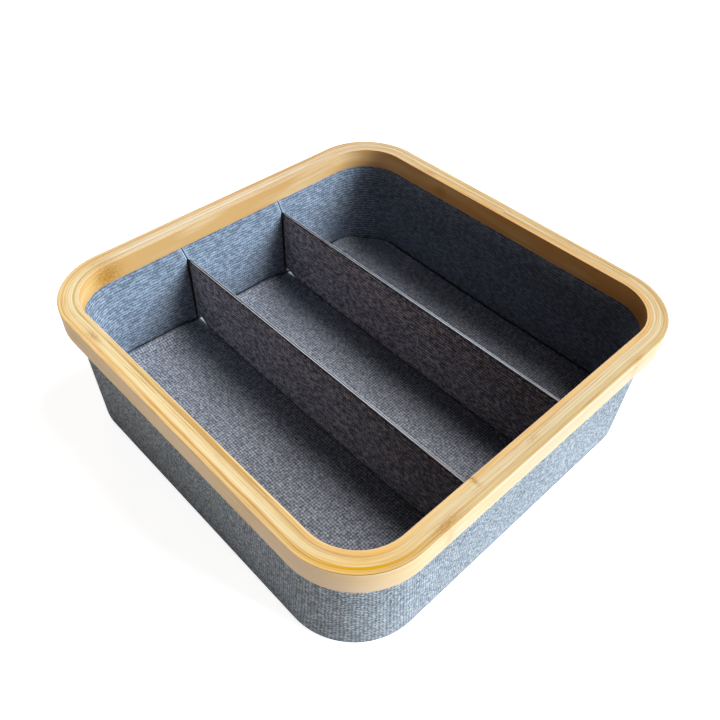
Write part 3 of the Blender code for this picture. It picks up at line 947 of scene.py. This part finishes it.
def end_squeeze(points, radius):
    """The share of its thickness that a panel keeps, and how strong the painted highlight on its turned edge
    is.

    The share is a quarter circle over the last stretch before each end: sqrt(1 - (1 - distance / radius)^2).
    The painted highlight fades evenly over twice that stretch.
    """
    along = lengths_along(points, 1, False)
    near = np.minimum(along, along[:, -1:] - along)
    away = 1.0 - np.clip(near / radius, 0.0, 1.0)
    return np.maximum(np.sqrt(1.0 - away**2), FLAT_END), np.clip(1.0 - near / (2 * radius), 0.0, 1.0)


def lining_panel(name, quarter, corners, first, last, node):
    """A wrapped panel between two slits. First and last give the slit and the side of it.

    Depth = lining depth + (section's depth - lining depth) * the share of its thickness that it keeps.
    """
    low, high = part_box(node)[0].z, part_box(node)[1].z
    section = rounded_block(LINING_DEPTH, LINING_DEPTH + LINING_CLOTH, low, high, LINING_ARRISES,
                            CLOTH_SPACING)
    depth, z = section[:, 0], section[:, 1]
    ends = [slit_x(side, z) + sign * slit_half(z) for side, sign in (first, last)]
    fine = END_ROUND * (1.0 - np.cos(np.linspace(0.0, QUARTER_TURN, END_STEPS)))
    stations = open_run(quarter, corners, *ends, z, np.append(fine, END_ROUND + END_HOLD))
    squeeze, edge = end_squeeze(place_on_plan(stations, depth, z), END_ROUND)
    points = place_on_plan(stations, LINING_DEPTH + (per_row(depth) - LINING_DEPTH) * squeeze, z)
    piece = surface(name, points, run_map(points, True, False), closed_columns=False, sharp=CLOTH_SHARP)
    on_face = (per_row(depth) > LINING_DEPTH + FACE_START) * (per_row(z) > DIVIDER_TOP)
    at_right = np.clip((points[..., 0] - RIGHT_SHADE_START) / RIGHT_SHADE_RUN, 0.0, 1.0)
    # Painted highlight on the turned ends above the dividers, and painted shade towards the right wall.
    mark(piece, "edge", edge * on_face)
    mark(piece, "crease", RIGHT_SHADE * at_right)
    dress(piece, lining_finish, "fabric", "tray", node)


lining_panel("lining_left", 1, 2, ("left", -1), ("left", -1), "lining_left_fabric")
lining_panel("lining_back", 1, 0, ("right", -1), ("left", 1), "lining_back_fabric")
lining_panel("lining_right", -1, 2, ("right", 1), ("right", 1), "lining_right_fabric")
lining_panel("lining_front", -1, 0, ("left", 1), ("right", -1), "lining_front_fabric")

# %% [markdown]
# ## How the loose floor lies
# The floor is a thin board wrapped in the same cloth and pushed in from above. It is a little too wide, so it
# sinks in the middle and curls up along the walls, and less so where a divider's end holds it down. Cloth
# simulation could find such a shape, but one height function over the plan is quicker to steer, and the
# dividers can stand on it.

# %% Floor height
FLOOR_DEPTH = depth_of("floor_cover")
FLOOR_LOW = 0.0067
DISH = 0.12
DISH_X, DISH_Y = 0.020, -0.050
CURL_RUN = 0.018
SIDE_CURL = 0.0033
BACK_CURL = 0.0052
HELD_RUN = 0.013
HELD_SHARES = {"left": 0.45, "right": 0.9}


def smooth(share):
    """A smooth step from 0 to 1: share^2 * (3 - 2 * share)."""
    share = np.clip(share, 0.0, 1.0)
    return share * share * (3.0 - 2.0 * share)


def floor_height(x, y):
    """A bowl about its lowest place, plus a curl along each wall that is held down at the dividers.

    z = low + dish * distance^2 + ends + sides - ends * sides / back curl, where ends is the back and the front
    curl. Each curl is a smooth step over the last stretch, and the last term keeps a corner from curling twice.
    """
    held = sum(share * np.exp(-(((x - DIVIDER_PLACES[side]) / HELD_RUN) ** 2))
               for side, share in HELD_SHARES.items())
    inside = TRAY_HALF - FLOOR_DEPTH
    back = BACK_CURL * (1.0 - held) * smooth((y - inside + CURL_RUN) / CURL_RUN)
    front = SIDE_CURL * (1.0 - held) * smooth((-y - inside + CURL_RUN) / CURL_RUN)
    sides = SIDE_CURL * smooth((np.abs(x) - inside + CURL_RUN) / CURL_RUN)
    curl = back + front + sides - (back + front) * sides / BACK_CURL
    return FLOOR_LOW + DISH * ((x - DISH_X) ** 2 + (y - DISH_Y) ** 2) + curl


print(f"floor: {floor_height(DISH_X, DISH_Y):.4f} at its lowest, {floor_height(0.0, 0.14):.4f} at the back")

# %% [markdown]
# ## Floor panel
# The cloth rolls round the board's edge in half an oval. A flat panel could be bent by a lattice, but every row
# can take its height from the function above. So the panel is one closed sheet: rows from the middle out, round
# the edge, and back underneath. Beside the walls a band of painted shade darkens it. At the back two pale spots
# of painted light stand for the light that comes in under the dividers' clipped corners.

# %% Floor
FLOOR_ROLL = 0.0009
FLOOR_ROLL_WIDTH = 0.0016
ROLL_STEPS = 10
SHEET_SHARES = np.append(np.linspace(0.012, 0.985, 56), (0.988, 0.991, 0.994, 0.997))
PAINTED_SHADE_WIDTH = 0.0022
LIGHT_SPOT_Y = 0.1370
LIGHT_SPOT_LENGTH, LIGHT_SPOT_WIDTH = 0.0070, 0.0030
LIGHT_SPOT_STRENGTH = {"left": 1.0, "right": 0.2}


def disc_on_plan(section, shares, height):
    """Rows from the middle out, round the edge and back. Share draws a row in towards the middle."""
    points = place_on_plan(ring, section[:, 0], np.zeros(len(section)))
    x, y = points[..., 0] * per_row(shares), points[..., 1] * per_row(shares)
    return np.stack([x, y, height(x, y) + per_row(section[:, 1])], -1)


def disc_points(depth, roll, width, height):
    """The points of a sheet with a rolled edge: top rows, half an oval at the edge, and the rows underneath.

    The half oval reaches outwards by width, and is as high as twice roll.
    """
    edge = arc(0.0, -roll, roll, 1, 3, ROLL_STEPS)
    edge[:, 0] = depth + width + edge[:, 0] * width / roll
    flat = np.column_stack([np.full(len(SHEET_SHARES), depth + width), np.zeros(len(SHEET_SHARES))])
    section = np.concatenate([flat, edge, flat[::-1] - np.array([0.0, 2 * roll])])
    shares = np.concatenate([SHEET_SHARES, np.ones(len(edge)), SHEET_SHARES[::-1]])
    return disc_on_plan(section, shares, height)


def disc_piece(name, points):
    """A closed sheet from such points. Its rows stop beside the middle, where two small caps close it."""
    return surface(name, points, run_map(points, False, True), closed_rows=False, sharp=CLOTH_SHARP)


def painted_light_spots(points):
    """Spots of painted light under the far corners: strength * exp(-(across / width)^2 - (along / length)^2).
    """
    along = ((points[..., 1] - LIGHT_SPOT_Y) / LIGHT_SPOT_LENGTH) ** 2
    return sum(LIGHT_SPOT_STRENGTH[side] * np.exp(-(((points[..., 0] - x) / LIGHT_SPOT_WIDTH) ** 2) - along)
               for side, x in DIVIDER_PLACES.items())


floor_points = disc_points(FLOOR_DEPTH, FLOOR_ROLL, FLOOR_ROLL_WIDTH, floor_height)
floor_panel = disc_piece("floor_panel", floor_points)
from_wall = TRAY_HALF - FLOOR_DEPTH - np.abs(floor_points[..., :2]).max(-1)
# Painted shade along the foot of the walls, and painted light in two spots at the back.
mark(floor_panel, "crease", 1.0 - smooth((from_wall - 0.5 * PAINTED_SHADE_WIDTH) / PAINTED_SHADE_WIDTH))
mark(floor_panel, "edge", painted_light_spots(floor_points))
dress(floor_panel, floor_finish, "fabric", "tray", "floor_cover", "floor_board")

# %% [markdown]
# ## Cloth under the base
# A black non-woven cloth is glued over the hem to finish the underside. Such cloth is pressed between rollers
# with small points. Dimples in the surface itself would take far too many points, so the finish makes them: a
# felt of fine fibres with rows of tiny dimples in its bump. The sheet is made as the floor panel is, only flat.

# %% Base cloth
CLOTH_DEPTH = depth_of("base_cloth")
BASE_CLOTH = 0.0008
DIMPLE_PITCH = 0.0022
FELT_CELLS = (1800.0, 1800.0, 1800.0)
FELT_CLOUD_CELLS = (25.0, 25.0, 25.0)
FELT_RELIEF = 0.00015


def felt():
    """Dimples are where the cosines of the two diagonals both peak. Fibres are noise with no direction."""
    bench = Bench("base_felt")
    place = bench.place("Object")
    turned = bench.add("ShaderNodeMapping", {"Vector": place, "Rotation": (0.0, 0.0, QUARTER_TURN / 2),
                                             "Scale": (2 * math.pi / DIMPLE_PITCH,) * 3})
    waves = [bench.add("ShaderNodeMath", {0: part}, operation="COSINE") for part in bench.parts(turned)]
    peaks = bench.add("ShaderNodeMath", {0: waves[0], 1: waves[1]}, operation="ADD")
    dimple = bench.spread(peaks, 1.2, 1.9)
    fibre = bench.noise(place, FELT_CELLS, 3.0, 0.7)
    cloud = bench.noise(place, FELT_CLOUD_CELLS, 2.0)
    tone = bench.sum_of((fibre, 1.2), (cloud, 0.8), (dimple, -0.3))
    colour = bench.ramp(tone, [(0.25, (0.012, 0.012, 0.014)), (0.75, (0.055, 0.055, 0.062))])
    height = bench.sum_of((fibre, 0.5), (dimple, -0.8))
    return bench.finish(colour, 0.9, height, FELT_RELIEF, specular_ior_level=0.2, sheen_weight=0.1)


def base_cloth_top(x, y):
    """The same height everywhere: the thickness of the cloth."""
    return np.full_like(x, BASE_CLOTH)


base_points = disc_points(CLOTH_DEPTH, BASE_CLOTH / 2, BASE_CLOTH / 2, base_cloth_top)
base_sheet = disc_piece("base_cloth_sheet", base_points)
dress(base_sheet, felt(), "backing", "tray", "base_cloth")

# %% [markdown]
# ## Divider sheets
# A divider is two cloth facings on a thin white core. It stands on the floor, so its lower edge follows the
# floor's height. Its lower corners are clipped, which lets a little light through to the floor at the far end.
# The upper edge of the core is a thin pale line beside the cut edge of the right facing. Plain boxes would
# stand in the dished floor or float over it. So each layer is a thin section carried along Y, and its height
# follows the floor.

# %% Upright sheets
DIVIDER_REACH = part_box("left_divider_left_facing")[1].y
FOOT_GAP = 0.0003
CLIP_LENGTH = 0.0160
CLIP_HEIGHT = 0.0054
SHEET_HEIGHT = 0.062
SHEET_SPACING = 0.0015
SHEET_STATIONS = 128
HIGHLIGHT_BAND = 0.0006
SHADE_TOP, SHADE_FOOT = 0.0016, 0.0040
FRONT_SHADE = 0.35


def divider_foot(side, y):
    """The floor's height under a divider, plus a gap and the clip at each end."""
    clip = CLIP_HEIGHT * np.clip((np.abs(y) - DIVIDER_REACH + CLIP_LENGTH) / CLIP_LENGTH, 0.0, 1.0)
    return floor_height(DIVIDER_PLACES[side], y) + FOOT_GAP + clip


def upright_sheet(name, side, near, far, reach, arrises, drops, pale, dark):
    """A thin sheet across X from near to far, between the divider's foot and its top, over its length.

    z = foot + (top - foot) * the section's share of the height. The pairs in drops and pale hold at the front
    and at the back, with even change between them: how far the sheet stays below the divider's top, and how
    strong its upper edge's painted highlight is. Dark is how much painted shade darkens its top, foot and
    front.
    """
    section = rounded_block(near, far, 0.0, SHEET_HEIGHT, arrises, SHEET_SPACING)
    y = np.linspace(-reach, reach, SHEET_STATIONS)[None, :]
    foot = divider_foot(side, y)
    towards_back = 0.5 + 0.5 * y / reach
    top = DIVIDER_TOP - drops[0] - (drops[1] - drops[0]) * towards_back
    share = section[:, 1:] / SHEET_HEIGHT
    x = DIVIDER_PLACES[side] + section[:, :1]
    points = np.stack(np.broadcast_arrays(x, y, foot + (top - foot) * share), -1)
    piece = surface(name, points, run_map(points, True, False), closed_columns=False, sharp=CLOTH_SHARP)
    strength = pale[0] + (pale[1] - pale[0]) * towards_back
    # Painted highlight along the upper edge, and painted shade at the top, the foot and the front.
    mark(piece, "edge", strength * smooth(((share - 1.0) * SHEET_HEIGHT / HIGHLIGHT_BAND + 1.0) * 2.0))
    from_end = np.minimum(share * SHEET_HEIGHT / SHADE_FOOT, (1.0 - share) * SHEET_HEIGHT / SHADE_TOP)
    front_shade = np.broadcast_to(FRONT_SHADE * smooth(1.0 - 2.0 * towards_back), points.shape[:2])
    mark(piece, "crease", dark * np.maximum(1.0 - smooth(from_end), front_shade))
    return piece


for side in DIVIDER_PLACES:
    print(f"{side} divider's foot: {divider_foot(side, 0.0):.4f} in the middle")

# %% [markdown]
# ## Card
# The divider's core and all the boards are pressed card. Its tone hardly varies: there are a soft cloud, fine
# fibres that lie every way, and a few dark specks. A scan of card could be used, but so little of it shows that
# three noises of very different sizes are enough.

# %% Card finish
CARD_CLOUD_CELLS = (40.0, 40.0, 40.0)
CARD_FIBRE_CELLS = (1300.0, 1300.0, 700.0)
CARD_SPECK_CELLS = (600.0, 600.0, 600.0)
SPECK_DARK = 0.4
SPECK_STRENGTH = 0.6
CARD_RELIEF = 0.00008


def board_finish(name, dark, light):
    """Cloud and fibres pick a colour from dark to light. Specks are the rare peaks of a third noise."""
    bench = Bench(name)
    place = bench.place("Object")
    cloud = bench.noise(place, CARD_CLOUD_CELLS, 3.0)
    fibre = bench.noise(place, CARD_FIBRE_CELLS, 3.0, 0.7)
    speck = bench.spread(bench.noise(place, CARD_SPECK_CELLS, 0.0), 0.70, 0.78)
    colour = bench.ramp(bench.sum_of((cloud, 0.7), (fibre, 1.0)), [(0.2, dark), (0.8, light)])
    colour = bench.mix(bench.times(speck, SPECK_STRENGTH), colour, tuple(SPECK_DARK * v for v in dark))
    return bench.finish(colour, 0.85, fibre, CARD_RELIEF, specular_ior_level=0.2)


print("card: cells for each metre", CARD_CLOUD_CELLS[0], "of cloud and", CARD_FIBRE_CELLS[0], "of fibres")

# %% [markdown]
# ## Two dividers
# Both dividers are alike: a core that stays a little below the top, and a facing on each side of it. The left
# facing gets painted shade at its top and foot and towards the front, and the right one gets a painted
# highlight on its cut edge. A copy of one divider would not stand on its own part of the floor, so both are
# worked out in a loop.

# %% Dividers
CORE_HALF = 0.00035
CORE_ARRISES = (0.0001,) * 4
CORE_DROPS = (0.00030, 0.00090)
FACING = 0.0006
FACING_ARRISES = (0.0001, 0.00024, 0.00024, 0.0001)
FACINGS = (
    # face, near, painted highlight at the front and the back, painted shade
    ("left", -DIVIDER_HALF, (0.0, 0.0), 0.85),
    ("right", DIVIDER_HALF - FACING, (1.0, 0.5), 0.0),
)
core_card = board_finish("core_card", (0.55, 0.58, 0.64), (0.74, 0.77, 0.82))
for side in DIVIDER_PLACES:
    core = upright_sheet(f"{side}_core_card", side, -CORE_HALF, CORE_HALF, DIVIDER_REACH - SEAT_GAP,
                         CORE_ARRISES, CORE_DROPS, (0.0, 0.0), 0.0)
    dress(core, core_card, "board", f"{side}_divider", f"{side}_divider_core")
    for face, near, pale, dark in FACINGS:
        cloth = upright_sheet(f"{side}_cloth_{face}", side, near, near + FACING, DIVIDER_REACH,
                              FACING_ARRISES, (0.0, 0.0), pale, dark)
        dress(cloth, facing_finish, "fabric", f"{side}_divider", f"{side}_divider_{face}_facing")

# %% [markdown]
# ## Hidden boards
# The wall, the base and the lining are stiffened with board. It only shows as the black of the slits and
# when a piece is taken away, so its card finish is made near-black, as painted shade for the slits. Finer
# surfaces would hardly ever be seen, so the plain solids stay, with a pressed card finish.

# %% Boards
# Near-black card: painted shade for the slits.
slit_shade_board = board_finish("slit_shade_board", (0.035, 0.033, 0.031), (0.085, 0.080, 0.075))
for name, solid in nodes.items():
    if name.endswith("_board") and name != "floor_board":
        solid.data.materials.clear()
        solid.data.materials.append(slit_shade_board)
        print("card finish on", name)

# %% [markdown]
# ## Table
# The tray stands on a white table, which sends light back up to the walls that look away from the lamps. Lamps
# bright enough to make it white in the picture would bleach the tray. So its own brightness, which only the
# camera, gloss and glass see, comes from its material and puts no more light on the tray.

# %% Table
TABLE_SIZE = 6.0
TABLE_GAP = 0.0002
TABLE_COLOUR = (0.86, 0.83, 0.79)
TABLE_FILL = 0.90
half_table = TABLE_SIZE / 2
table_corners = [(sx * half_table, sy * half_table, -TABLE_GAP)
                 for sx, sy in ((-1, -1), (1, -1), (1, 1), (-1, 1))]
table_mesh = bpy.data.meshes.new("table_top")
table_mesh.from_pydata(table_corners, [], [(0, 1, 2, 3)])
table_top = bpy.data.objects.new("table_top", table_mesh)
bpy.context.collection.objects.link(table_top)


def seen_directly(bench):
    """1 for rays from the camera, from gloss and through glass, and 0 for the ones that carry light."""
    path = bench.tree.nodes.new("ShaderNodeLightPath")
    total = path.outputs["Is Camera Ray"]
    for ray in ("Is Glossy Ray", "Is Transmission Ray"):
        total = bench.add("ShaderNodeMath", {0: total, 1: path.outputs[ray]}, operation="MAXIMUM")
    return total


white = Bench("white_table")
white.shader.inputs["Base Color"].default_value = (*TABLE_COLOUR, 1.0)
white.shader.inputs["Roughness"].default_value = 0.9
white.shader.inputs["Specular IOR Level"].default_value = 0.0
white.shader.inputs["Emission Color"].default_value = (1.0, 1.0, 1.0, 1.0)
white.feed(white.shader.inputs["Emission Strength"], white.times(seen_directly(white), TABLE_FILL))
table_mesh.materials.append(white.material)
print("table made:", TABLE_SIZE, "m square")

# %% [markdown]
# ## World and lamps
# One broad, low, cool light comes from the front right, so the outside of the front is brightest. A warmer one
# comes from high up on the right and reaches the floor between the dividers. Two are faint: a warm one from
# behind, and a very low one on the left that keeps the wall on that side from going black. A bright world would
# light the tray from every side and wash the shadows out. So it gives almost no light, and is white only for
# the rays that see it directly.

# %% World
AMBIENT = (0.014, 0.014, 0.014)


class Sky(Bench):
    """The world's own nodes, with the same words."""

    def __init__(self):
        """A new world, made the scene's own and emptied."""
        world = bpy.data.worlds.new("studio")
        bpy.context.scene.world = world
        world.use_nodes = True
        self.tree = world.node_tree
        self.tree.nodes.clear()


sky = Sky()
ambient = sky.add("ShaderNodeBackground", {"Color": (*AMBIENT, 1.0), "Strength": 1.0})
backdrop = sky.add("ShaderNodeBackground", {"Color": (1.0, 1.0, 1.0, 1.0), "Strength": 1.0})
background = sky.add("ShaderNodeMixShader", {0: seen_directly(sky), 1: ambient, 2: backdrop})
world_output = sky.tree.nodes.new("ShaderNodeOutputWorld")
sky.feed(world_output.inputs["Surface"], background)
print("world made, with a level of", AMBIENT[0])

# %% Lamps
LAMPS = (
    # azimuth, elevation, level, size, colour
    (26.0, 21.0, 1.42, 1.8, (0.72, 0.88, 1.0)),
    (58.0, 60.0, 0.84, 1.8, (1.0, 0.95, 0.90)),
    (150.0, 35.0, 0.07, 1.8, (1.0, 0.75, 0.50)),
    (-80.0, 3.5, 0.11, 0.4, (1.0, 0.97, 0.92)),
)
LAMP_DISTANCE = 4.0
LAMP_TARGET = Vector((0.0, 0.0, 0.05))


def add_lamp(azimuth, elevation, level, size, colour):
    """A square lamp of power level * pi^2 * distance^2, which lights a facing white surface to the level."""
    lamp = bpy.data.lights.new(f"lamp_{round(azimuth)}_{round(elevation)}", "AREA")
    lamp.size = size
    lamp.color = colour
    lamp.energy = level * (math.pi * LAMP_DISTANCE) ** 2
    holder = bpy.data.objects.new(lamp.name, lamp)
    holder.matrix_world = aimed_matrix(LAMP_TARGET, math.radians(azimuth), math.radians(elevation), 0.0,
                                       LAMP_DISTANCE)
    bpy.context.collection.objects.link(holder)
    print(f"{lamp.name}: {lamp.energy:.1f} W")


for lamp_row in LAMPS:
    add_lamp(*lamp_row)
bpy.context.scene.view_settings.view_transform = "Standard"

# %% [markdown]
# ## The end
